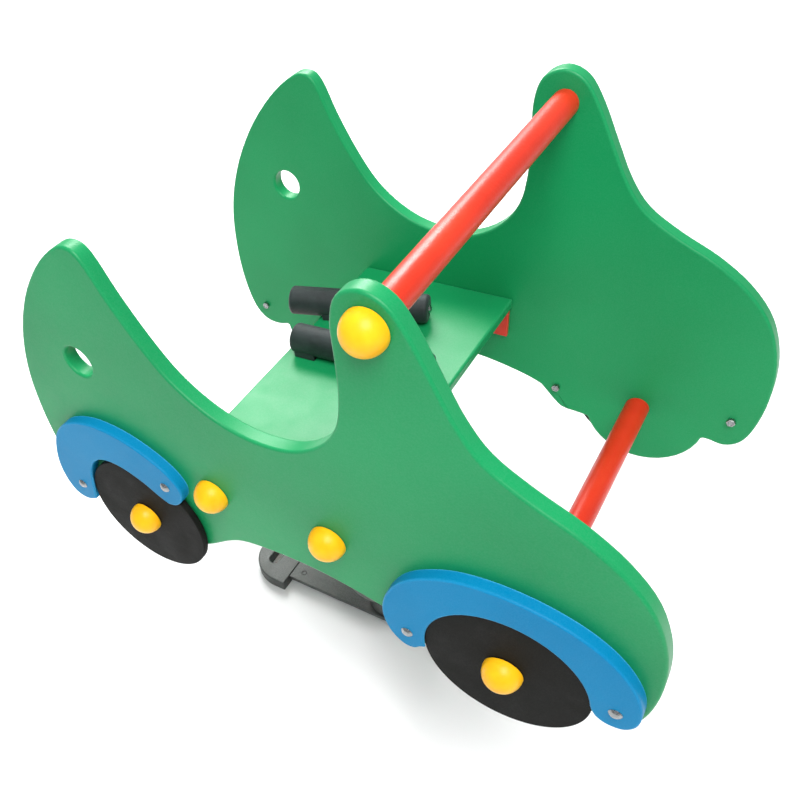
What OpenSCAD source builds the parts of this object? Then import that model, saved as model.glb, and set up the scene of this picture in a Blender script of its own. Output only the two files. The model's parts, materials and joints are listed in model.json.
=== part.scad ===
// Car-shaped rocker seesaw for one small child.
// Two board side panels are joined by tubes, a steel frame and a seat, and the
// whole car rocks on one coil spring over a bolt-down base.
// +X is the nose, +Y the car's left side, +Z up. The origin is on the ground,
// under the middle of the side panels.

/* [Body] */
// Distance between the outer faces of the two side panels
body_w = 476; // [460:2:500]
// Thickness of the side panels
panel_t = 20; // [18:1:22]
// Diameter of the hole in each tail
tail_hole_d = 42; // [36:1:46]

/* [Seat] */
// Height of the top of the seat above the ground
seat_z = 512; // [508:1:520]
// Thickness of the seat board
seat_t = 15; // [12:1:18]
// Place of the rear edge of the seat
seat_back_x = -158; // [-165:1:-152]
// Place of the front edge of the seat
seat_front_x = 70; // [66:1:78]
// Diameter of the two rubber rollers on the seat
roller_d = 39; // [34:1:42]

/* [Tubes] */
// Outer diameter of the handlebar and of the cross tubes
tube_d = 32; // [30:1:34]
// Wall thickness of the tubes
tube_wall = 2.5; // [2:0.5:3]

/* [Wheels and fenders] */
// Diameter of the wheel discs
wheel_d = 188; // [176:2:190]
// Thickness of the wheel discs
wheel_t = 9.6; // [9:0.2:9.8]
// Thickness of the fenders
fender_t = 15; // [14:1:18]
// Diameter of the round caps
cap_d = 45; // [43:0.2:46]

/* [Spring and base] */
// Outer diameter of the coil spring
spring_d = 128; // [120:2:132]
// Diameter of the spring wire
wire_d = 16; // [14:1:18]
// Place of the spring and of the middle of the base
spring_x = -20; // [-24:1:-16]
// Length of the base, foot to foot
base_l = 536; // [510:2:544]
// Width of the flat base bar
bar_w = 84; // [76:2:90]
// Thickness of the feet
foot_t = 21; // [20:1:26]
// Length of the anchor slots, across the feet
slot_l = 60; // [50:2:70]
// Width of the anchor slots
slot_w = 18; // [14:1:20]

/* [Hidden] */
$fn = 64;

green = "#2f9e5e";
blue = "#0090cc";
red = "#e03a20";
yellow = "#ffcc20";
black = "#1e1e1c";
steel_grey = "#6f7472";
stainless = "#c4c8ca";

half_w = body_w / 2;
inner_y = half_w - panel_t;

// Axes of what crosses the car, as [x, z]
handlebar_at = [110, 779];
front_axle_at = [258, 383];
rear_axle_at = [-248, 377];
frame_bolts_at = [[-122, 470], [42, 471]];
tail_hole_at = [-287, 620];
front_fender_bolts_at = [[145, 381], [374, 401]];
rear_fender_bolts_at = [[-362, 391], [-189, 464]];
sides = [-1, 1];

// Fasteners
m6_r = 3;
m10_r = 5;
hole_gap = 0.4;
m10_head_r = 9;
m10_head_h = 6.4;
m10_nut_h = 8;
m6_dome_r = 7.4;
m6_dome_h = 3.8;
m6_nut_r = 5.8;
m6_nut_h = 5;

// Steel frame under the seat
rail_t = 6;
rail_h = 46;
rail_x = [-142, 67];
rail_z = seat_z - seat_t - rail_h;
cross_w = 30;
cross_wall = 3;
cross_offset = 36;

// Spring stack, from the ground up
bar_t = 8;
post_d = 76;
post_wall = 5;
post_plate_t = 8;
post_plate_d = 150;
post_top_z = 118;
top_plate_t = 10;
top_plate_size = [120, 180];
spring_top_z = rail_z - top_plate_t;
spring_r = (spring_d - wire_d) / 2;
coil_low_z = post_top_z + wire_d / 2;
coil_high_z = spring_top_z - wire_d / 2;
working_turns = 5;
turns = working_turns + 2;
clamp_strap_t = 5;
clamp_gap = 1.4;
clamp_post_t = 7;
clamp_w = 18;
clamp_angles = [150, 240, 330];

// Feet
foot_l = 83;
foot_r = 61;
foot_tongue_l = 42;
foot_tongue_w = 66;
slot_from_end = 38;

// Wheels: washer, disc, cap seat and cap, measured out from the panel
washer_t = 1.5;
wheel_gap = 0.2;
wheel_in = washer_t + wheel_gap;
wheel_out = wheel_in + wheel_t;
bush_out = wheel_out + wheel_gap;
bush_r = 7;
bush_gap = 0.05;
cap_seat_t = 2.2;
cap_seat_r = 17.5;
cap_lift = 0.5;
cap_skirt = 2;
cap_room = 2;
cap_wall_gap = 0.05;
fender_pocket = wheel_out + 0.8;
pocket_gap = 4;

// ---------------------------------------------------------------- outlines

// Point at t on the smooth curve from b to c, with neighbours a and d
function blend_at(a, b, c, d, t) =
    0.5 * (2 * b + (c - a) * t + (2 * a - 5 * b + 4 * c - d) * t * t
        + (3 * b - a - 3 * c + d) * t * t * t);

// Smooth open curve through the listed points, leaving out the last one
function curve(p, n = 4) = [
    for (i = [0:len(p) - 2], k = [0:n - 1])
        blend_at(p[max(i - 1, 0)], p[i], p[i + 1], p[min(i + 2, len(p) - 1)], k / n)
];

// Arc about c of radius r, from angle a to angle b
function arc(c, r, a, b, n = 16) = [
    for (k = [0:n]) c + r * [cos(a + (b - a) * k / n), sin(a + (b - a) * k / n)]
];

// Tail, seat dip, head, bonnet and nose, from the rear notch to the front one
panel_top = [
    [-323, 361], [-345, 356], [-369, 361], [-389, 384], [-402, 432], [-406, 496],
    [-399, 565], [-377, 632], [-341, 695], [-298, 745], [-259, 775], [-236, 781],
    [-219, 769], [-199, 727], [-172, 680], [-142, 640], [-106, 612], [-68, 596],
    [-28, 591], [12, 598], [46, 620], [67, 652], [74, 692], [74, 735], [73, 775],
    [81, 803], [104, 815], [129, 806], [149, 779], [170, 739], [192, 698],
    [218, 666], [258, 641], [305, 618], [347, 589], [380, 551], [400, 500],
    [406, 446], [402, 398], [392, 369], [374, 357], [354, 360]
];
// Small lobe and bottom edge, from the front wheel bulge to the rear one
panel_bottom = [
    [190, 343], [177, 344], [162, 345], [149, 351], [122, 378]
];
panel_belly = [
    [122, 378], [100, 386], [62, 395], [20, 401], [-30, 402], [-84, 396],
    [-114, 383], [-148, 358], [-170, 344]
];
front_bulge = [268, 372];
front_bulge_r = 79;
rear_bulge = [-246, 372];
rear_bulge_r = 77;

function panel_outline() = concat(
    curve(panel_top),
    arc(front_bulge, front_bulge_r, -9, -158),
    curve(panel_bottom),
    curve(panel_belly),
    arc(rear_bulge, rear_bulge_r, -21, -171)
);

front_fender_edge = [
    [161, 361], [152, 353], [139, 354], [125, 367], [116, 388], [114, 412],
    [121, 441], [138, 470], [162, 491], [196, 508], [238, 515], [280, 513],
    [322, 502], [355, 484], [380, 458], [395, 427], [397, 396], [387, 378],
    [370, 374], [357, 380], [350, 391]
];
front_cutout_at = [258, 379];
front_cutout_r = 92.5;

function front_fender_outline() = concat(
    curve(front_fender_edge),
    arc(front_cutout_at, front_cutout_r, 9, 189, 32)
);

rear_fender_edge = [
    [-347, 366], [-366, 358], [-385, 363], [-396, 384], [-398, 416], [-389, 451],
    [-373, 484], [-348, 509], [-319, 523], [-286, 529], [-246, 525], [-208, 511],
    [-179, 492], [-164, 470], [-166, 450], [-178, 435], [-192, 431]
];
rear_fender_inside = [
    [-192, 431], [-206, 438], [-230, 454], [-259, 466], [-286, 468], [-307, 460],
    [-323, 444], [-334, 419], [-340, 393], [-347, 366]
];

function rear_fender_outline() = concat(curve(rear_fender_edge), curve(rear_fender_inside));

// ---------------------------------------------------------------- helpers

// Stands a flat outline in x and z up, with thickness t from y towards +y
module upright(y, t) {
    translate([0, y + t, 0]) rotate([90, 0, 0]) linear_extrude(t) children();
}

// Round bar along y at p = [x, z], from y0 to y1
module rod_y(p, r, y0, y1) {
    translate([p[0], y0, p[1]]) rotate([-90, 0, 0]) cylinder(r = r, h = y1 - y0);
}

// Hexagonal bar along y at p = [x, z], from y0 to y1
module hex_y(p, r, y0, y1) {
    translate([p[0], y0, p[1]]) rotate([-90, 0, 0]) cylinder(r = r, h = y1 - y0, $fn = 6);
}

// Draws its children, made for the left side, on side s: -1 is right, 1 is left
module on_side(s) {
    if (s > 0) children();
    else mirror([0, 1, 0]) children();
}

// ---------------------------------------------------------------- panels and fenders

module side_panel(s) {
    color(green) on_side(s) difference() {
        upright(inner_y, panel_t) polygon(panel_outline());
        rod_y(tail_hole_at, tail_hole_d / 2, inner_y - 1, half_w + 1);
        for (p = concat([handlebar_at, front_axle_at, rear_axle_at], frame_bolts_at))
            rod_y(p, m10_r + hole_gap, inner_y - 1, half_w + 1);
        for (p = concat(front_fender_bolts_at, rear_fender_bolts_at))
            rod_y(p, m6_r + hole_gap, inner_y - 1, half_w + 1);
    }
}

module side_panel_right() { side_panel(-1); }
module side_panel_left() { side_panel(1); }

// Fender with a pocket in its back that clears the wheel disc
module fender(s, outline, bolts, axle) {
    color(blue) on_side(s) difference() {
        upright(half_w, fender_t) polygon(outline);
        rod_y(axle, wheel_d / 2 + pocket_gap, half_w - 1, half_w + fender_pocket);
        for (p = bolts) rod_y(p, m6_r + hole_gap, half_w - 1, half_w + fender_t + 1);
    }
}

module fender_front_right() { fender(-1, front_fender_outline(), front_fender_bolts_at, front_axle_at); }
module fender_front_left() { fender(1, front_fender_outline(), front_fender_bolts_at, front_axle_at); }
module fender_rear_right() { fender(-1, rear_fender_outline(), rear_fender_bolts_at, rear_axle_at); }
module fender_rear_left() { fender(1, rear_fender_outline(), rear_fender_bolts_at, rear_axle_at); }

// Dome-headed bolts through fender and panel
module fender_bolts() {
    color(stainless) for (s = sides, p = concat(front_fender_bolts_at, rear_fender_bolts_at)) on_side(s) {
        rod_y(p, m6_r, inner_y - m6_nut_h, half_w + fender_t);
        translate([p[0], half_w + fender_t, p[1]]) intersection() {
            dome_r = (pow(m6_dome_r, 2) + pow(m6_dome_h, 2)) / (2 * m6_dome_h);
            translate([0, m6_dome_h - dome_r, 0]) sphere(r = dome_r);
            rod_y([0, 0], m6_dome_r, 0, m6_dome_h);
        }
    }
}

module fender_nuts() {
    color(stainless) for (s = sides, p = concat(front_fender_bolts_at, rear_fender_bolts_at)) on_side(s)
        difference() {
            hex_y(p, m6_nut_r, inner_y - m6_nut_h, inner_y);
            rod_y(p, m6_r, inner_y - m6_nut_h - 1, inner_y + 1);
        }
}

// ---------------------------------------------------------------- seat

module seat_board() {
    color(green) difference() {
        translate([seat_back_x, -inner_y, seat_z - seat_t])
            cube([seat_front_x - seat_back_x, 2 * inner_y, seat_t]);
        for (x = [-cross_offset, cross_offset], y = seat_screws_y)
            translate([spring_x + x, y, seat_z - seat_t - 1]) cylinder(r = m6_r, h = seat_screw_bite + 1);
    }
}

seat_screws_y = [-150, 150];
seat_screw_bite = 9;
seat_screw_head_r = 5.5;
seat_screw_head_h = 3;

// Screws up through the cross tubes into the underside of the seat
module seat_screws() {
    color(stainless) for (x = [-cross_offset, cross_offset], y = seat_screws_y)
        translate([spring_x + x, y, rail_z - seat_screw_head_h]) {
            cylinder(r = m6_r, h = seat_screw_head_h + rail_h + seat_screw_bite);
            cylinder(r = seat_screw_head_r, h = seat_screw_head_h);
        }
}

// ---------------------------------------------------------------- steel frame

module frame_rail(s) {
    color(red) on_side(s) difference() {
        translate([rail_x[0], inner_y - rail_t, rail_z])
            cube([rail_x[1] - rail_x[0], rail_t, rail_h]);
        for (p = frame_bolts_at) rod_y(p, m10_r + hole_gap, inner_y - rail_t - 1, inner_y + 1);
    }
}

module frame_rail_right() { frame_rail(-1); }
module frame_rail_left() { frame_rail(1); }

// Rectangular tube between the rails
module frame_cross(x) {
    length = 2 * (inner_y - rail_t);
    color(red) difference() {
        translate([x - cross_w / 2, -length / 2, rail_z]) cube([cross_w, length, rail_h]);
        translate([x - cross_w / 2 + cross_wall, -length / 2 - 1, rail_z + cross_wall])
            cube([cross_w - 2 * cross_wall, length + 2, rail_h - 2 * cross_wall]);
        for (y = seat_screws_y) translate([x, y, rail_z - 1]) cylinder(r = m6_r + hole_gap, h = rail_h + 2);
        for (y = plate_bolts_y) translate([x, y, rail_z - 1])
            cylinder(r = m10_r + hole_gap, h = cross_wall + 2);
    }
}

module frame_cross_rear() { frame_cross(spring_x - cross_offset); }
module frame_cross_front() { frame_cross(spring_x + cross_offset); }

// Bolts through panel and rail, with their heads under the round caps
module frame_bolts() {
    color(stainless) for (s = sides, p = frame_bolts_at) on_side(s) {
        rod_y(p, m10_r, inner_y - rail_t - m10_nut_h, half_w + cap_seat_t);
        hex_y(p, m10_head_r, half_w + cap_seat_t, half_w + cap_seat_t + m10_head_h);
    }
}

module frame_nuts() {
    color(stainless) for (s = sides, p = frame_bolts_at) on_side(s) difference() {
        hex_y(p, m10_head_r, inner_y - rail_t - m10_nut_h, inner_y - rail_t);
        rod_y(p, m10_r, inner_y - rail_t - m10_nut_h - 1, inner_y - rail_t + 1);
    }
}

// ---------------------------------------------------------------- tubes across the car

module cross_tube(p) {
    color(red) difference() {
        rod_y(p, tube_d / 2, -inner_y, inner_y);
        rod_y(p, tube_d / 2 - tube_wall, -inner_y - 1, inner_y + 1);
    }
}

module handlebar() { cross_tube(handlebar_at); }
module foot_bar() { cross_tube(front_axle_at); }
module rear_axle_tube() { cross_tube(rear_axle_at); }

tube_plug_l = 30;
tubes_at = [handlebar_at, front_axle_at, rear_axle_at];

// Threaded plugs inside both ends of each tube
module tube_plugs() {
    color(steel_grey) for (s = sides, p = tubes_at) on_side(s) difference() {
        rod_y(p, tube_d / 2 - tube_wall, inner_y - tube_plug_l, inner_y);
        rod_y(p, m10_r, inner_y - tube_plug_l - 1, inner_y + 1);
    }
}

bolt_grip = 25;

module handlebar_bolts() {
    color(stainless) for (s = sides) on_side(s) {
        rod_y(handlebar_at, m10_r, inner_y - bolt_grip, half_w + cap_seat_t);
        hex_y(handlebar_at, m10_head_r, half_w + cap_seat_t, half_w + cap_seat_t + m10_head_h);
    }
}

// ---------------------------------------------------------------- wheels

module axle_bolts() {
    color(stainless) for (s = sides, p = [front_axle_at, rear_axle_at]) on_side(s) {
        out = half_w + bush_out + cap_seat_t;
        rod_y(p, m10_r, inner_y - bolt_grip, out);
        hex_y(p, m10_head_r, out, out + m10_head_h);
    }
}

module wheel_bushes() {
    color(steel_grey) for (s = sides, p = [front_axle_at, rear_axle_at]) on_side(s) difference() {
        rod_y(p, bush_r, half_w + washer_t, half_w + bush_out);
        rod_y(p, m10_r, half_w, half_w + bush_out + 1);
    }
}

washer_r = 14;

module wheel_washers() {
    color(stainless) for (s = sides, p = [front_axle_at, rear_axle_at]) on_side(s) difference() {
        rod_y(p, washer_r, half_w, half_w + washer_t);
        rod_y(p, m10_r, half_w - 1, half_w + washer_t + 1);
    }
}

module wheel(s, axle) {
    color(black) on_side(s) difference() {
        rod_y(axle, wheel_d / 2, half_w + wheel_in, half_w + wheel_out);
        rod_y(axle, bush_r + bush_gap, half_w, half_w + wheel_out + 1);
    }
}

module wheel_front_right() { wheel(-1, front_axle_at); }
module wheel_front_left() { wheel(1, front_axle_at); }
module wheel_rear_right() { wheel(-1, rear_axle_at); }
module wheel_rear_left() { wheel(1, rear_axle_at); }

// ---------------------------------------------------------------- round caps

// Ring clamped under a bolt head, which the cap snaps over
module cap_seat(p, out) {
    difference() {
        rod_y(p, cap_seat_r, half_w + out, half_w + out + cap_seat_t);
        rod_y(p, m10_r, half_w + out - 1, half_w + out + cap_seat_t + 1);
    }
}

// Hollow dome over a bolt head
module cap(p, out) {
    difference() {
        union() {
            rod_y(p, cap_d / 2, half_w + out, half_w + out + cap_skirt);
            intersection() {
                translate([p[0], half_w + out + cap_skirt, p[1]]) sphere(r = cap_d / 2);
                rod_y(p, cap_d, half_w + out + cap_skirt, half_w + out + cap_d);
            }
        }
        rod_y(p, cap_seat_r + cap_wall_gap, half_w + out - 1, half_w + out + cap_seat_t - cap_lift);
        rod_y(p, m10_head_r + cap_room, half_w + out - 1, half_w + out + cap_seat_t + m10_head_h + cap_room);
    }
}

module cap_seats() {
    color(yellow) for (s = sides) on_side(s) {
        for (p = concat([handlebar_at], frame_bolts_at)) cap_seat(p, 0);
        for (p = [front_axle_at, rear_axle_at]) cap_seat(p, bush_out);
    }
}

module hub_caps() {
    color(yellow) for (s = sides, p = [front_axle_at, rear_axle_at]) on_side(s) cap(p, bush_out + cap_lift);
}

module handlebar_caps() {
    color(yellow) for (s = sides) on_side(s) cap(handlebar_at, cap_lift);
}

module frame_caps() {
    color(yellow) for (s = sides, p = frame_bolts_at) on_side(s) cap(p, cap_lift);
}

// ---------------------------------------------------------------- rollers on the seat

roller_l = 194;
roller_end_round = 5;
roller_gap = 0.1;
roller_z = seat_z + roller_d / 2 + roller_gap;
// Middle of each roller and the angle that it points to, seen from above
rear_roller_at = [-106, 102, 15.5];
front_roller_at = [-51, 9, 3];
rod_r = 5;
end_bolt_r = 6;
end_bolt_h = 4;
cradle_size = [30, 34, 11];
// How far each cradle sits from the middle of its roller
cradle_shift = [-34, -76];

// Puts its children, made along +x about their middle, on a roller's axis
module on_roller(r) {
    translate([r[0], r[1], roller_z]) rotate([0, 0, r[2]]) children();
}

module roller(r) {
    end_x = roller_l / 2;
    edge = roller_d / 2;
    color(black) on_roller(r) rotate([0, 90, 0]) rotate_extrude() polygon(concat(
        [[rod_r, -end_x]],
        arc([edge - roller_end_round, roller_end_round - end_x], roller_end_round, -90, 0, 8),
        arc([edge - roller_end_round, end_x - roller_end_round], roller_end_round, 0, 90, 8),
        [[rod_r, end_x]]
    ));
}

module roller_rear() { roller(rear_roller_at); }
module roller_front() { roller(front_roller_at); }

module roller_rods() {
    color(steel_grey) for (r = [rear_roller_at, front_roller_at]) on_roller(r)
        rotate([0, 90, 0]) translate([0, 0, -roller_l / 2]) cylinder(r = rod_r, h = roller_l);
}

module roller_end_bolts() {
    color(stainless) for (r = [rear_roller_at, front_roller_at], s = sides) on_roller(r)
        translate([s * roller_l / 2, 0, 0]) rotate([0, 90 * s, 0])
            intersection() {
                head_r = (pow(end_bolt_r, 2) + pow(end_bolt_h, 2)) / (2 * end_bolt_h);
                translate([0, 0, end_bolt_h - head_r]) sphere(r = head_r);
                cylinder(r = end_bolt_r, h = end_bolt_h);
            }
}

// Cradles that hold the rollers on the seat, one near the rear end of each
module roller_brackets() {
    rollers = [rear_roller_at, front_roller_at];
    color(black) for (i = [0, 1]) on_roller(rollers[i]) difference() {
        translate([cradle_shift[i] - cradle_size[0] / 2, -cradle_size[1] / 2, -roller_d / 2 - roller_gap])
            cube(cradle_size);
        rotate([0, 90, 0]) translate([0, 0, -roller_l / 2])
            cylinder(r = roller_d / 2 + roller_gap / 2, h = roller_l);
    }
}

// ---------------------------------------------------------------- spring

// Height of the middle of the wire after u turns; the first and last turn lie flat
function coil_z(u) = coil_low_z + (coil_high_z - coil_low_z) * min(max(u - 1, 0), working_turns) / working_turns;

// Ring of points round the wire after u turns
function coil_ring(u, n) =
    let (
        a = 360 * u,
        middle = [spring_x + spring_r * cos(a), spring_r * sin(a), coil_z(u)],
        out = [cos(a), sin(a), 0],
        rise = (coil_z(u + 0.01) - coil_z(u - 0.01)) / (0.02 * 2 * PI * spring_r),
        up = [sin(a) * rise, -cos(a) * rise, 1] / sqrt(1 + rise * rise)
    )
    [for (k = [0:n - 1]) middle + wire_d / 2 * (cos(360 * k / n) * out + sin(360 * k / n) * up)];

// Wire from u0 to u1 turns
module coil(u0, u1, sides_n = 12, per_turn = 28) {
    rings = round((u1 - u0) * per_turn);
    points = [for (i = [0:rings]) each coil_ring(u0 + (u1 - u0) * i / rings, sides_n)];
    walls = [
        for (i = [0:rings - 1], k = [0:sides_n - 1])
            let (a = i * sides_n + k, b = i * sides_n + (k + 1) % sides_n)
            [a, a + sides_n, b + sides_n, b]
    ];
    start = [for (k = [0:sides_n - 1]) k];
    end = [for (k = [sides_n - 1:-1:0]) rings * sides_n + k];
    polyhedron(points, concat(walls, [start, end]), convexity = 10);
}

module spring_lower_half() { color(black) coil(0, turns / 2); }
module spring_upper_half() { color(black) coil(turns / 2, turns); }

// Straps over the flat end turn of the spring; they stand on z = 0 and open downwards
module spring_clamps() {
    inner_r = spring_r - wire_d / 2 - clamp_gap;
    outer_r = spring_r + wire_d / 2 + clamp_gap;
    height = wire_d + clamp_gap;
    for (a = clamp_angles) rotate([0, 0, a]) difference() {
        translate([inner_r - clamp_post_t, -clamp_w / 2, 0])
            cube([outer_r - inner_r + 2 * clamp_post_t, clamp_w, height + clamp_strap_t]);
        translate([inner_r, -clamp_w, -1]) cube([outer_r - inner_r, 2 * clamp_w, height + 1]);
        translate([inner_r - clamp_post_t / 2, 0, -1]) cylinder(r = clamp_bolt_r, h = height + clamp_strap_t + 2);
    }
}

clamp_bolt_r = 2.5;
clamp_bolt_head_r = 4.5;
clamp_bolt_head_h = 3;

module clamp_bolts() {
    inner_r = spring_r - wire_d / 2 - clamp_gap;
    height = wire_d + clamp_gap + clamp_strap_t;
    for (a = clamp_angles) rotate([0, 0, a]) translate([inner_r - clamp_post_t / 2, 0, 0]) {
        translate([0, 0, -post_plate_t]) cylinder(r = clamp_bolt_r, h = height + post_plate_t);
        translate([0, 0, height]) cylinder(r = clamp_bolt_head_r, h = clamp_bolt_head_h);
    }
}

module clamp_bolt_holes() {
    inner_r = spring_r - wire_d / 2 - clamp_gap;
    for (a = clamp_angles) rotate([0, 0, a]) translate([inner_r - clamp_post_t / 2, 0, -top_plate_t - 1])
        cylinder(r = clamp_bolt_r, h = top_plate_t + 2);
}

// Frame of the lower and the upper end of the spring; the upper one faces down
module at_lower_end() { translate([spring_x, 0, post_top_z]) children(); }
module at_upper_end() { translate([spring_x, 0, spring_top_z]) mirror([0, 0, 1]) mirror([0, 1, 0]) children(); }

module spring_clamps_lower() { color(steel_grey) at_lower_end() spring_clamps(); }
module spring_clamps_upper() { color(steel_grey) at_upper_end() spring_clamps(); }
module clamp_bolts_lower() { color(stainless) at_lower_end() clamp_bolts(); }

plate_bolts_y = [-76, 76];

// Clamp bolts, and the four bolts that hold the top plate to the cross tubes
module clamp_bolts_upper() {
    color(stainless) {
        at_upper_end() clamp_bolts();
        for (x = [-cross_offset, cross_offset], y = plate_bolts_y) translate([spring_x + x, y, 0]) {
            translate([0, 0, spring_top_z]) cylinder(r = m10_r, h = top_plate_t + cross_wall + m10_nut_h);
            translate([0, 0, spring_top_z - m10_head_h]) cylinder(r = m10_head_r, h = m10_head_h, $fn = 6);
        }
    }
}

module spring_top_plate() {
    color(steel_grey) difference() {
        translate([spring_x - top_plate_size[0] / 2, -top_plate_size[1] / 2, spring_top_z])
            cube([top_plate_size[0], top_plate_size[1], top_plate_t]);
        at_upper_end() clamp_bolt_holes();
        for (x = [-cross_offset, cross_offset], y = plate_bolts_y)
            translate([spring_x + x, y, spring_top_z - 1]) cylinder(r = m10_r, h = top_plate_t + 2);
    }
}

// Tube on the base bar that carries the lower end of the spring
module spring_post() {
    color(steel_grey) difference() {
        union() {
            translate([spring_x, 0, foot_t]) cylinder(d = post_d, h = post_top_z - foot_t);
            translate([spring_x, 0, post_top_z - post_plate_t]) cylinder(d = post_plate_d, h = post_plate_t);
        }
        translate([spring_x, 0, foot_t - 1]) cylinder(d = post_d - 2 * post_wall, h = post_top_z - foot_t + 2);
        at_lower_end() clamp_bolt_holes();
    }
}

// ---------------------------------------------------------------- base

foot_end_x = base_l / 2;
foot_screws_y = [-24, 24];
foot_screw_r = 4;

// Flat bar between the feet, level with their tops
module base_bar() {
    length = base_l - 2 * foot_l;
    color(steel_grey) difference() {
        translate([spring_x - length / 2, -bar_w / 2, foot_t - bar_t]) cube([length, bar_w, bar_t]);
        for (s = sides, y = foot_screws_y) translate([foot_screw_x(s), y, foot_t - bar_t - 1])
            cylinder(r = foot_screw_r, h = bar_t + 2);
    }
}

function foot_screw_x(s) = spring_x + s * (foot_end_x - foot_l - foot_tongue_l / 2);

// Foot with a round outer end, a slot across it and a tongue under the bar
module base_foot(s) {
    color(steel_grey) translate([spring_x, 0, 0]) mirror([s > 0 ? 0 : 1, 0, 0]) difference() {
        union() {
            translate([foot_end_x - foot_r, 0, 0]) cylinder(r = foot_r, h = foot_t);
            translate([foot_end_x - foot_l, -foot_r, 0]) cube([foot_l - foot_r, 2 * foot_r, foot_t]);
            translate([foot_end_x - foot_l - foot_tongue_l, -foot_tongue_w / 2, 0])
                cube([foot_tongue_l + 1, foot_tongue_w, foot_t - bar_t]);
        }
        translate([0, -foot_r, -1]) cube([foot_end_x - foot_l - foot_tongue_l, 2 * foot_r, foot_t + 2]);
        translate([foot_end_x - foot_l - foot_tongue_l - 1, -foot_r - 1, foot_t - bar_t])
            cube([foot_tongue_l + 1, 2 * foot_r + 2, bar_t + 1]);
        for (y = sides) translate([foot_end_x - foot_l - foot_tongue_l - 1, y > 0 ? foot_tongue_w / 2 : -foot_r - 1, -1])
            cube([foot_tongue_l + 1, foot_r + 1 - foot_tongue_w / 2, foot_t + 2]);
        anchor_slot();
        for (y = foot_screws_y) translate([foot_end_x - foot_l - foot_tongue_l / 2, y, -1])
            cylinder(r = foot_screw_r, h = foot_t);
    }
}

// Slot with round ends, across the foot
module anchor_slot() {
    reach = (slot_l - slot_w) / 2;
    translate([foot_end_x - slot_from_end, 0, -1]) {
        for (y = sides) translate([0, y * reach, 0]) cylinder(d = slot_w, h = foot_t + 2);
        translate([-slot_w / 2, -reach, 0]) cube([slot_w, 2 * reach, foot_t + 2]);
    }
}

module base_foot_rear() { base_foot(-1); }
module base_foot_front() { base_foot(1); }

foot_screw_sink = 3;

// Screws that hold the bar down on the tongues of the feet, painted with them
module base_screws() {
    color(steel_grey) for (s = sides, y = foot_screws_y) translate([foot_screw_x(s), y, foot_screw_sink])
        cylinder(r = foot_screw_r, h = foot_t - foot_screw_sink);
}

// ---------------------------------------------------------------- drawing

base_bar();
base_foot_rear();
base_foot_front();
base_screws();
spring_post();
spring_clamps_lower();
clamp_bolts_lower();
spring_lower_half();
spring_upper_half();
spring_top_plate();
spring_clamps_upper();
clamp_bolts_upper();
frame_rail_right();
frame_rail_left();
frame_cross_rear();
frame_cross_front();
frame_bolts();
frame_nuts();
seat_board();
seat_screws();
side_panel_right();
side_panel_left();
handlebar();
foot_bar();
rear_axle_tube();
tube_plugs();
handlebar_bolts();
axle_bolts();
wheel_bushes();
wheel_washers();
wheel_front_right();
wheel_front_left();
wheel_rear_right();
wheel_rear_left();
fender_front_right();
fender_front_left();
fender_rear_right();
fender_rear_left();
fender_bolts();
fender_nuts();
cap_seats();
hub_caps();
handlebar_caps();
frame_caps();
roller_rear();
roller_front();
roller_rods();
roller_end_bolts();
roller_brackets();
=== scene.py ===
"""Looks for the car-shaped rocker seesaw: materials, finished meshes, studio and camera."""

import json
import math

import bmesh
import bpy
from mathutils import Matrix, Vector


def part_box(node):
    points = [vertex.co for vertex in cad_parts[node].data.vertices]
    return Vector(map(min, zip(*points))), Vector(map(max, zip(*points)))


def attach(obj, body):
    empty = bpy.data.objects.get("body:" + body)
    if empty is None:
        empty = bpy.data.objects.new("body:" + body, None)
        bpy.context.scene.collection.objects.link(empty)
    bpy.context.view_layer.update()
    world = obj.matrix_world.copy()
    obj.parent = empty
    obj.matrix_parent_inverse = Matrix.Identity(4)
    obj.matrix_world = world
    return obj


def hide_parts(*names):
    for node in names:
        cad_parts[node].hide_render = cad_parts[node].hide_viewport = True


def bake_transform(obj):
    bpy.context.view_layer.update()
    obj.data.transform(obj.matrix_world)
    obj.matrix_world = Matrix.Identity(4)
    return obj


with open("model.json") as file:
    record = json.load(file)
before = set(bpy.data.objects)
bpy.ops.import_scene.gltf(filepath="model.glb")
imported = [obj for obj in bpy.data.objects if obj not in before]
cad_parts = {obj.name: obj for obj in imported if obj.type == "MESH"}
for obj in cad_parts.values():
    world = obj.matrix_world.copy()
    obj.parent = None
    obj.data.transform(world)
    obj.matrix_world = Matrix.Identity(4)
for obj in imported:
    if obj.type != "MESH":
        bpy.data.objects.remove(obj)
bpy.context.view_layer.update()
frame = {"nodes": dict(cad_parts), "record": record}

MM = 0.001
SIDES = ("right", "left")
ENDS = ("front", "rear")

# Cleaning and rounding of CAD meshes: lengths in metres, angles in degrees
WELD = 2e-6
FLAT_ANGLE = 0.4
SHARP_ANGLE = 40
LARGE_EDGE = 5  # a loop of edges this many roundings across gets the full rounding
SMALL_EDGE_SHARE = 0.15  # share of the rounding that small holes and inner edges get


def middle(node):
    """Middle of a CAD node's box, as a vector."""
    low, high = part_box(node)
    return (Vector(low) + Vector(high)) / 2


def size_of(node):
    """Size of a CAD node's box, as a vector."""
    low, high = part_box(node)
    return Vector(high) - Vector(low)


# ------------------------------------------------------------------ materials


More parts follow.
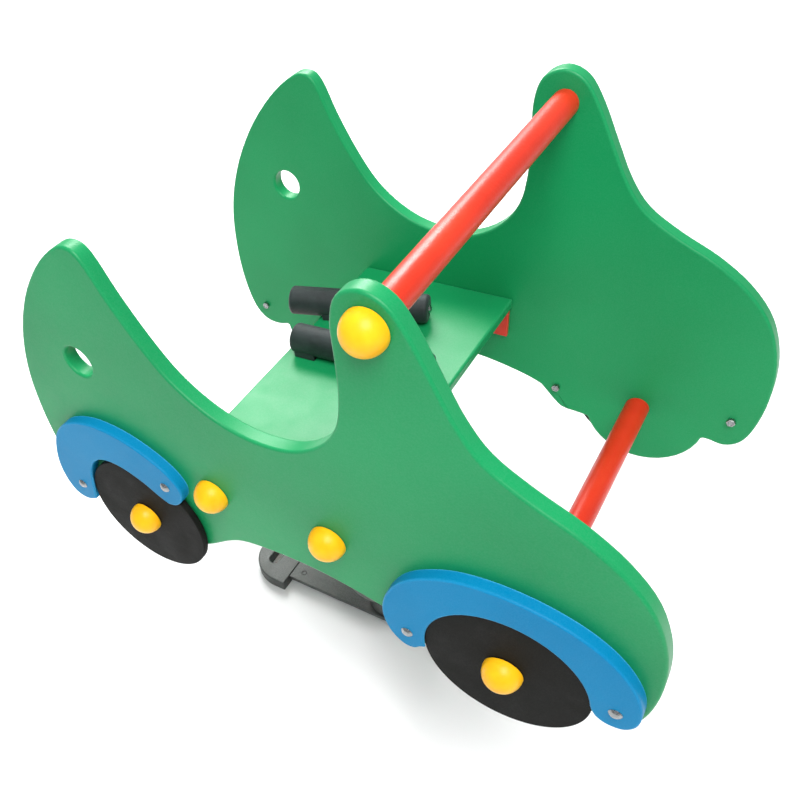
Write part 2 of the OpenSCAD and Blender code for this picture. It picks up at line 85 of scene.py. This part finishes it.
class Shader:
    """Short way to write a node material round one Principled shader."""

    def __init__(self, name):
        self.material = bpy.data.materials.new(name)
        self.material.use_nodes = True
        self.tree = self.material.node_tree
        self.main = self.tree.nodes["Principled BSDF"]
        self.place = self.node("ShaderNodeTexCoord").outputs["Object"]

    def node(self, kind, **settings):
        made = self.tree.nodes.new(kind)
        for key, value in settings.items():
            setattr(made, key, value)
        return made

    def link(self, start, end):
        self.tree.links.new(start, end)

    def set(self, **values):
        """Sets plain numbers on the shader; an underscore stands for a space."""
        for key, value in values.items():
            self.main.inputs[key.replace("_", " ")].default_value = value

    def noise(self, scale, detail=3.0, roughness=0.5, stretch=(1, 1, 1), distortion=0.0):
        """Noise of about scale bumps per metre."""
        mapping = self.node("ShaderNodeMapping")
        mapping.inputs["Scale"].default_value = stretch
        self.link(self.place, mapping.inputs["Vector"])
        made = self.node("ShaderNodeTexNoise")
        made.inputs["Scale"].default_value = scale
        made.inputs["Detail"].default_value = detail
        made.inputs["Roughness"].default_value = roughness
        made.inputs["Distortion"].default_value = distortion
        self.link(mapping.outputs["Vector"], made.inputs["Vector"])
        return made.outputs["Fac"]

    def cells(self, scale):
        """Distance to the middle of the nearest cell."""
        made = self.node("ShaderNodeTexVoronoi")
        made.inputs["Scale"].default_value = scale
        self.link(self.place, made.inputs["Vector"])
        return made.outputs["Distance"]

    def spread(self, value, low, high, to_low=0.0, to_high=1.0):
        """Maps value from low..high to to_low..to_high."""
        made = self.node("ShaderNodeMapRange")
        for key, number in zip(("From Min", "From Max", "To Min", "To Max"), (low, high, to_low, to_high)):
            made.inputs[key].default_value = number
        self.link(value, made.inputs["Value"])
        return made.outputs["Result"]

    def blend(self, factor, first, second):
        """Colour between first and second."""
        made = self.node("ShaderNodeMix", data_type="RGBA")
        self.link(factor, made.inputs[0])
        for socket, colour in ((made.inputs[6], first), (made.inputs[7], second)):
            if isinstance(colour, tuple):
                socket.default_value = (*colour, 1)
            else:
                self.link(colour, socket)
        return made.outputs[2]

    def painted_edge_highlight(self, radius, most, low=0.02, high=0.2):
        """Painted highlight: lightening on outside edges, found from how the bevelled normal leans."""
        bevel = self.node("ShaderNodeBevel", samples=4)
        bevel.inputs["Radius"].default_value = radius
        flat = self.node("ShaderNodeNewGeometry").outputs["Normal"]
        lean = self.node("ShaderNodeVectorMath", operation="DOT_PRODUCT")
        self.link(bevel.outputs["Normal"], lean.inputs[0])
        self.link(flat, lean.inputs[1])
        turned = self.node("ShaderNodeMath", operation="SUBTRACT")
        turned.inputs[0].default_value = 1.0
        self.link(lean.outputs["Value"], turned.inputs[1])
        return self.spread(turned.outputs[0], low, high, 0.0, most)

    def colour(self, value):
        self.link(value, self.main.inputs["Base Color"])

    def rough(self, value):
        self.link(value, self.main.inputs["Roughness"])

    def bump(self, *layers):
        """Stacks bumps; each layer is a height value and its depth in metres."""
        normal = None
        for height, depth in layers:
            made = self.node("ShaderNodeBump")
            made.inputs["Strength"].default_value = 1.0
            made.inputs["Distance"].default_value = depth
            self.link(height, made.inputs["Height"])
            if normal:
                self.link(normal, made.inputs["Normal"])
            normal = made.outputs["Normal"]
        self.link(normal, self.main.inputs["Normal"])


def board(name, deep, plain, light, gloss):
    """Satin through-coloured board: faint mottling, fine grain, a few soft scuffs and a painted highlight
    on its rounded edges.
    """
    s = Shader(name)
    clouds = s.noise(5.0, 2.0)
    grain = s.noise(620.0, 2.0)
    scuffs = s.noise(24.0, 6.0, 0.75, stretch=(1, 1, 3.5), distortion=0.6)
    base = s.blend(s.spread(clouds, 0.32, 0.68), deep, plain)
    base = s.blend(s.spread(grain, 0.35, 0.75, 0.0, 0.06), base, light)
    # Painted highlight: the rounded outside edges are lightened towards the light colour, standing in for
    # the sheen the rims catch.
    base = s.blend(s.painted_edge_highlight(3.5 * MM, 0.6), base, light)
    s.colour(s.blend(s.spread(scuffs, 0.66, 0.8, 0.0, 0.16), base, light))
    s.rough(s.spread(s.noise(38.0, 5.0, 0.65), 0.3, 0.7, 0.36, 0.44))
    s.bump((grain, 0.00005), (s.noise(90.0, 2.0), 0.00005))
    s.set(Specular_IOR_Level=gloss)
    return s.material


def matt_board(name, deep, light):
    """Matt black board with the fine stipple of cut polyethylene."""
    s = Shader(name)
    stipple = s.noise(900.0, 3.0, 0.7)
    clouds = s.noise(30.0, 4.0, 0.6)
    base = s.blend(s.spread(stipple, 0.35, 0.7), deep, light)
    s.colour(s.blend(s.spread(clouds, 0.45, 0.75, 0.0, 0.4), base, light))
    s.rough(s.spread(clouds, 0.3, 0.7, 0.52, 0.68))
    s.bump((stipple, 0.00012), (s.noise(70.0, 2.0), 0.0002))
    s.set(Specular_IOR_Level=0.07)
    return s.material


def powder_paint(name, deep, plain):
    """Satin powder coat with orange peel."""
    s = Shader(name)
    clouds = s.noise(12.0, 3.0)
    s.colour(s.blend(s.spread(clouds, 0.35, 0.65), deep, plain))
    s.rough(s.spread(s.noise(60.0, 4.0, 0.6), 0.3, 0.7, 0.34, 0.42))
    s.bump((s.noise(240.0, 1.5), 0.0002))
    s.set(Specular_IOR_Level=0.42)
    return s.material


def cap_plastic(name, deep, plain):
    """Smooth moulded plastic that lets a little light in."""
    s = Shader(name)
    clouds = s.noise(40.0, 2.0)
    s.colour(s.blend(s.spread(clouds, 0.3, 0.7), deep, plain))
    s.rough(s.spread(s.noise(120.0, 4.0), 0.3, 0.7, 0.3, 0.42))
    s.bump((s.noise(500.0, 2.0), 0.00003))
    s.set(Specular_IOR_Level=0.22, Subsurface_Weight=0.12, Subsurface_Scale=0.004)
    s.main.inputs["Subsurface Radius"].default_value = (1.0, 0.6, 0.1)
    return s.material


def plain_steel(name, deep, plain, light, metallic=0.55):
    """Grey painted or galvanised steel, speckled and rubbed."""
    s = Shader(name)
    speckle = s.noise(700.0, 3.0, 0.65)
    clouds = s.noise(34.0, 5.0, 0.6)
    base = s.blend(s.spread(speckle, 0.38, 0.66), deep, plain)
    s.colour(s.blend(s.spread(clouds, 0.42, 0.72, 0.0, 0.55), base, light))
    s.rough(s.spread(clouds, 0.3, 0.7, 0.42, 0.62))
    s.bump((speckle, 0.00012), (s.noise(120.0, 3.0), 0.0002))
    s.set(Metallic=metallic, Specular_IOR_Level=0.5)
    return s.material


def bright_steel(name, deep, light):
    """Stainless fasteners: polished, with fine handling marks."""
    s = Shader(name)
    marks = s.noise(400.0, 5.0, 0.7, stretch=(1, 1, 6))
    s.colour(s.blend(s.spread(marks, 0.3, 0.7), deep, light))
    s.rough(s.spread(marks, 0.3, 0.75, 0.2, 0.36))
    s.bump((marks, 0.00002))
    s.set(Metallic=1.0)
    return s.material


def grained_rubber(name, deep, light):
    """Black rubber with moulded grain and a dusty bloom."""
    s = Shader(name)
    grain = s.cells(1100.0)
    bloom = s.noise(26.0, 5.0, 0.65)
    s.colour(s.blend(s.spread(bloom, 0.35, 0.72), deep, light))
    s.rough(s.spread(bloom, 0.3, 0.7, 0.42, 0.6))
    s.bump((grain, 0.00025), (s.noise(80.0, 3.0), 0.0003))
    s.set(Specular_IOR_Level=0.3, Sheen_Weight=0.08, Sheen_Roughness=0.5)
    s.main.inputs["Sheen Tint"].default_value = (0.75, 0.85, 0.9, 1)
    return s.material


# Each slot: its maker, then the maker's colours from dark to light and any last number
RECIPES = {
    # For the boards the light colour is the pale tone of the grain and scuffs, and also the painted
    # highlight on their rounded edges.
    "green_board": (board, (0.002, 0.235, 0.072), (0.003, 0.275, 0.086), (0.22, 0.50, 0.35), 0.25),
    "blue_board": (board, (0.0, 0.18, 0.385), (0.0, 0.21, 0.435), (0.14, 0.60, 0.95), 0.09),
    "black_board": (matt_board, (0.005, 0.005, 0.0045), (0.016, 0.016, 0.014)),
    "red_paint": (powder_paint, (0.55, 0.024, 0.006), (0.64, 0.034, 0.009)),
    "spring_paint": (powder_paint, (0.008, 0.008, 0.009), (0.016, 0.016, 0.017)),
    "yellow_cap": (cap_plastic, (0.94, 0.43, 0.005), (0.96, 0.53, 0.012)),
    "grey_steel": (plain_steel, (0.052, 0.057, 0.053), (0.10, 0.108, 0.102), (0.15, 0.16, 0.15)),
    "zinc": (plain_steel, (0.32, 0.33, 0.33), (0.45, 0.46, 0.46), (0.58, 0.58, 0.57), 0.85),
    "stainless": (bright_steel, (0.20, 0.21, 0.21), (0.42, 0.43, 0.43)),
    "black_rubber": (grained_rubber, (0.009, 0.013, 0.013), (0.026, 0.037, 0.037)),
}
MATERIALS = {slot: make(slot, *values) for slot, (make, *values) in RECIPES.items()}
SLOT_OF = {part["node"]: part["material_slot"] for part in frame["record"]["subparts"]}
BODY_OF = {
    node: body for body, nodes in frame["record"]["behaviour"]["bodies"].items() for node in nodes
}

# ------------------------------------------------------------------ pieces


def add_piece(name, mesh, slot, body=None):
    """Puts a finished mesh in the scene as a piece; with a body it rides on that body."""
    piece = bpy.data.objects.new(name, mesh)
    bpy.context.scene.collection.objects.link(piece)
    mesh.materials.clear()
    mesh.materials.append(MATERIALS[slot])
    if body:
        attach(piece, body)
    return piece


def shade(mesh, sharp_angle=35):
    """Smooth shading that breaks at edges sharper than an angle in degrees."""
    edit = bmesh.new()
    edit.from_mesh(mesh)
    for face in edit.faces:
        face.smooth = True
    for edge in edit.edges:
        edge.smooth = len(edge.link_faces) == 2 and edge.calc_face_angle(0) < math.radians(sharp_angle)
    edit.to_mesh(mesh)
    edit.free()


def weigh_edges(edit, rounding, outside_only):
    """Gives each sharp edge its share of the rounding: small holes and inner edges get little."""
    share = edit.edges.layers.float.new("bevel_weight_edge")
    sharp = {edge for edge in edit.edges if edge.calc_face_angle(0) > math.radians(SHARP_ANGLE)}
    outside = max(abs(vert.co.y) for vert in edit.verts)
    while sharp:
        chain = [sharp.pop()]
        for edge in chain:
            near = {other for vert in edge.verts for other in vert.link_edges} & sharp
            sharp -= near
            chain += near
        points = [vert.co for edge in chain for vert in edge.verts]
        reach = max(max(along) - min(along) for along in zip(*points))
        part = 1.0 if reach > LARGE_EDGE * rounding else SMALL_EDGE_SHARE
        for edge in chain:
            inner = outside_only and any(abs(vert.co.y) < outside - rounding / 2 for vert in edge.verts)
            edge[share] = SMALL_EDGE_SHARE if inner else part


def finished(node, rounding, steps, outside_only=False):
    """The CAD node's shape as a clean mesh with its edges rounded, standing for the node."""
    mesh = frame["nodes"][node].data.copy()
    mesh.name = f"{node}_finish"
    edit = bmesh.new()
    edit.from_mesh(mesh)
    bmesh.ops.remove_doubles(edit, verts=edit.verts, dist=WELD)
    flat = math.radians(FLAT_ANGLE)
    bmesh.ops.dissolve_limit(edit, angle_limit=flat, verts=edit.verts, edges=edit.edges, delimit=set())
    weigh_edges(edit, rounding, outside_only)
    edit.to_mesh(mesh)
    edit.free()
    normals = mesh.attributes.get("custom_normal")
    if normals:
        mesh.attributes.remove(normals)
    shade(mesh)
    piece = add_piece(f"{node}_finish", mesh, SLOT_OF[node], BODY_OF[node])
    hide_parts(node)
    bevel = piece.modifiers.new("edges", "BEVEL")
    bevel.width = rounding
    bevel.segments = steps
    bevel.limit_method = "WEIGHT"
    bevel.use_clamp_overlap = False
    bevel.miter_outer = "MITER_ARC"
    even = piece.modifiers.new("even_shading", "WEIGHTED_NORMAL")
    even.keep_sharp = True
    even.weight = 100


# Boards, with their edges rounded one by one, and the rails beside them
for side in SIDES:
    finished(f"side_panel_{side}", 3.2 * MM, 5)
    for end in ENDS:
        finished(f"fender_{end}_{side}", 2.4 * MM, 5, outside_only=True)
        finished(f"wheel_{end}_{side}", 1.6 * MM, 4)
    finished(f"frame_rail_{side}", 1.0 * MM, 3)
finished("seat_board", 3.0 * MM, 5)

# Everything else but the coil: rounding in mm, its steps, and the nodes that have it
ROUNDINGS = (
    (1.6, 4, ("frame_cross_rear", "frame_cross_front")),
    (2.2, 4, ("base_foot_rear", "base_foot_front")),
    (1.2, 3, ("base_bar", "spring_post", "spring_top_plate")),
    (1.0, 3, ("spring_clamps_lower", "spring_clamps_upper")),
    (0.4, 2, ("handlebar", "foot_bar", "rear_axle_tube", "tube_plugs", "wheel_bushes", "wheel_washers")),
    (0.5, 2, ("base_screws", "clamp_bolts_lower", "clamp_bolts_upper", "frame_bolts", "frame_nuts")),
    (0.5, 2, ("seat_screws", "handlebar_bolts", "axle_bolts", "fender_bolts", "fender_nuts")),
    (0.5, 2, ("roller_end_bolts",)),
    (0.4, 2, ("cap_seats", "hub_caps", "handlebar_caps", "frame_caps")),
    (0.5, 2, ("roller_rear", "roller_front", "roller_rods")),
    (1.2, 3, ("roller_brackets",)),
)
for rounding, steps, nodes in ROUNDINGS:
    for node in nodes:
        finished(node, rounding * MM, steps)

# ------------------------------------------------------------------ spring

WIRE_R = 8 * MM
FLAT_TURNS = 1
WORKING_TURNS = 5
EASE = 0.04  # share of the working turns over which the slope builds up
spring_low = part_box("spring_lower_half")[0][2]
spring_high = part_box("spring_upper_half")[1][2]
spring_middle = middle("spring_lower_half")
spring_pivot = Vector((spring_middle.x, 0, (spring_low + spring_high) / 2))
COIL_R = size_of("spring_upper_half").y / 2 - WIRE_R


def coil_height(turn):
    """Height of the middle of the wire; the end turns lie flat and ease into the rise."""
    low = spring_low + WIRE_R
    high = spring_high - WIRE_R
    t = min(max((turn - FLAT_TURNS) / WORKING_TURNS, 0), 1)
    if t < EASE:
        t = t * t / (2 * EASE)
    elif t > 1 - EASE:
        t = 1 - EASE - (1 - t) ** 2 / (2 * EASE)
    else:
        t = t - EASE / 2
    return low + (high - low) * t / (1 - EASE)


def coil_point(turn):
    """Middle of the wire at a turn."""
    a = 2 * math.pi * turn
    return Vector((spring_pivot.x + COIL_R * math.cos(a), COIL_R * math.sin(a), coil_height(turn)))


def coil_mesh(name, start, end, around=24, per_turn=72, aside=0.001):
    """Round wire along the coil from one turn to another, with flat cut ends."""
    edit = bmesh.new()
    count = round((end - start) * per_turn)
    rings = []
    for i in range(count + 1):
        turn = start + (end - start) * i / count
        centre = coil_point(turn)
        along = (coil_point(turn + aside) - coil_point(turn - aside)).normalized()
        out = Vector((math.cos(2 * math.pi * turn), math.sin(2 * math.pi * turn), 0))
        up = along.cross(out)
        ring = []
        for k in range(around):
            a = 2 * math.pi * k / around
            ring.append(edit.verts.new(centre + WIRE_R * (math.cos(a) * out + math.sin(a) * up)))
        rings.append(ring)
    for low, high in zip(rings, rings[1:]):
        for k in range(around):
            n = (k + 1) % around
            edit.faces.new((low[k], low[n], high[n], high[k]))
    edit.faces.new(rings[0])
    edit.faces.new(rings[-1][::-1])
    bmesh.ops.recalc_face_normals(edit, faces=edit.faces)
    mesh = bpy.data.meshes.new(name)
    edit.to_mesh(mesh)
    edit.free()
    shade(mesh, 50)
    return mesh


HALF = (2 * FLAT_TURNS + WORKING_TURNS) / 2
lower_coil = add_piece("coil_lower", coil_mesh("coil_lower", 0, HALF), "spring_paint")
upper_coil = add_piece("coil_upper", coil_mesh("coil_upper", HALF, 2 * HALF), "spring_paint")
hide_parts("spring_lower_half")
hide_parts("spring_upper_half")
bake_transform(lower_coil)
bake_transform(upper_coil)

# ------------------------------------------------------------------ studio and camera

FLOOR_HALF = 6.0


def area_light(name, location, target, size, power):
    """Soft rectangular lamp; size in metres, power in watts."""
    light = bpy.data.lights.new(name, "AREA")
    light.shape = "RECTANGLE"
    light.size, light.size_y = size
    light.energy = power
    lamp = bpy.data.objects.new(name, light)
    lamp.location = location
    lamp.rotation_euler = (Vector(target) - Vector(location)).to_track_quat("-Z", "Y").to_euler()
    bpy.context.scene.collection.objects.link(lamp)


def floor():
    """Plain pale floor."""
    edit = bmesh.new()
    corners = [(-1, -1), (1, -1), (1, 1), (-1, 1)]
    edit.faces.new([edit.verts.new((x * FLOOR_HALF, y * FLOOR_HALF, 0)) for x, y in corners])
    mesh = bpy.data.meshes.new("studio_floor")
    edit.to_mesh(mesh)
    edit.free()
    plane = bpy.data.objects.new("studio_floor", mesh)
    bpy.context.scene.collection.objects.link(plane)
    s = Shader("studio_floor")
    s.colour(s.blend(s.spread(s.noise(3.0), 0.3, 0.7), (0.93, 0.93, 0.93), (0.95, 0.95, 0.95)))
    s.set(Roughness=0.9, Specular_IOR_Level=0.1)
    mesh.materials.append(s.material)


def sky(strength):
    """Even pale light from all round."""
    world = bpy.data.worlds.new("studio_world")
    world.use_nodes = True
    background = world.node_tree.nodes["Background"]
    background.inputs["Color"].default_value = (0.93, 0.97, 1.0, 1)
    background.inputs["Strength"].default_value = strength
    bpy.context.scene.world = world


def camera():
    """The photograph's viewpoint: high over the right front wheel, looking back and down."""
    place = Vector((0.3922, -0.7017, 1.1715))
    target = Vector((-0.2040, 0.0, 0.2371))
    roll = math.radians(-10.44)
    lens = bpy.data.cameras.new("view")
    lens.sensor_width = 36
    lens.lens = 36.31
    lens.shift_x = 0.1414
    lens.shift_y = 0.0967
    lens.clip_start = 0.05
    view = bpy.data.objects.new("view", lens)
    turn = (target - place).to_track_quat("-Z", "Y").to_matrix() @ Matrix.Rotation(roll, 3, "Z")
    view.matrix_world = Matrix.Translation(place) @ turn.to_4x4()
    bpy.context.scene.collection.objects.link(view)
    bpy.context.scene.camera = view


floor()
sky(0.46)
area_light("key", (-1.3, 1.75, 2.6), (0, 0, 0.4), (1.4, 1.15), 98)
area_light("top", (0.8, -1.0, 2.8), (0, 0, 0.4), (1.5, 1.5), 88)
area_light("backdrop_wash", (-3.2, 3.8, 3.0), (-3.0, 3.6, 0), (3.0, 3.0), 160)
bpy.context.scene.view_settings.view_transform = "Standard"
camera()
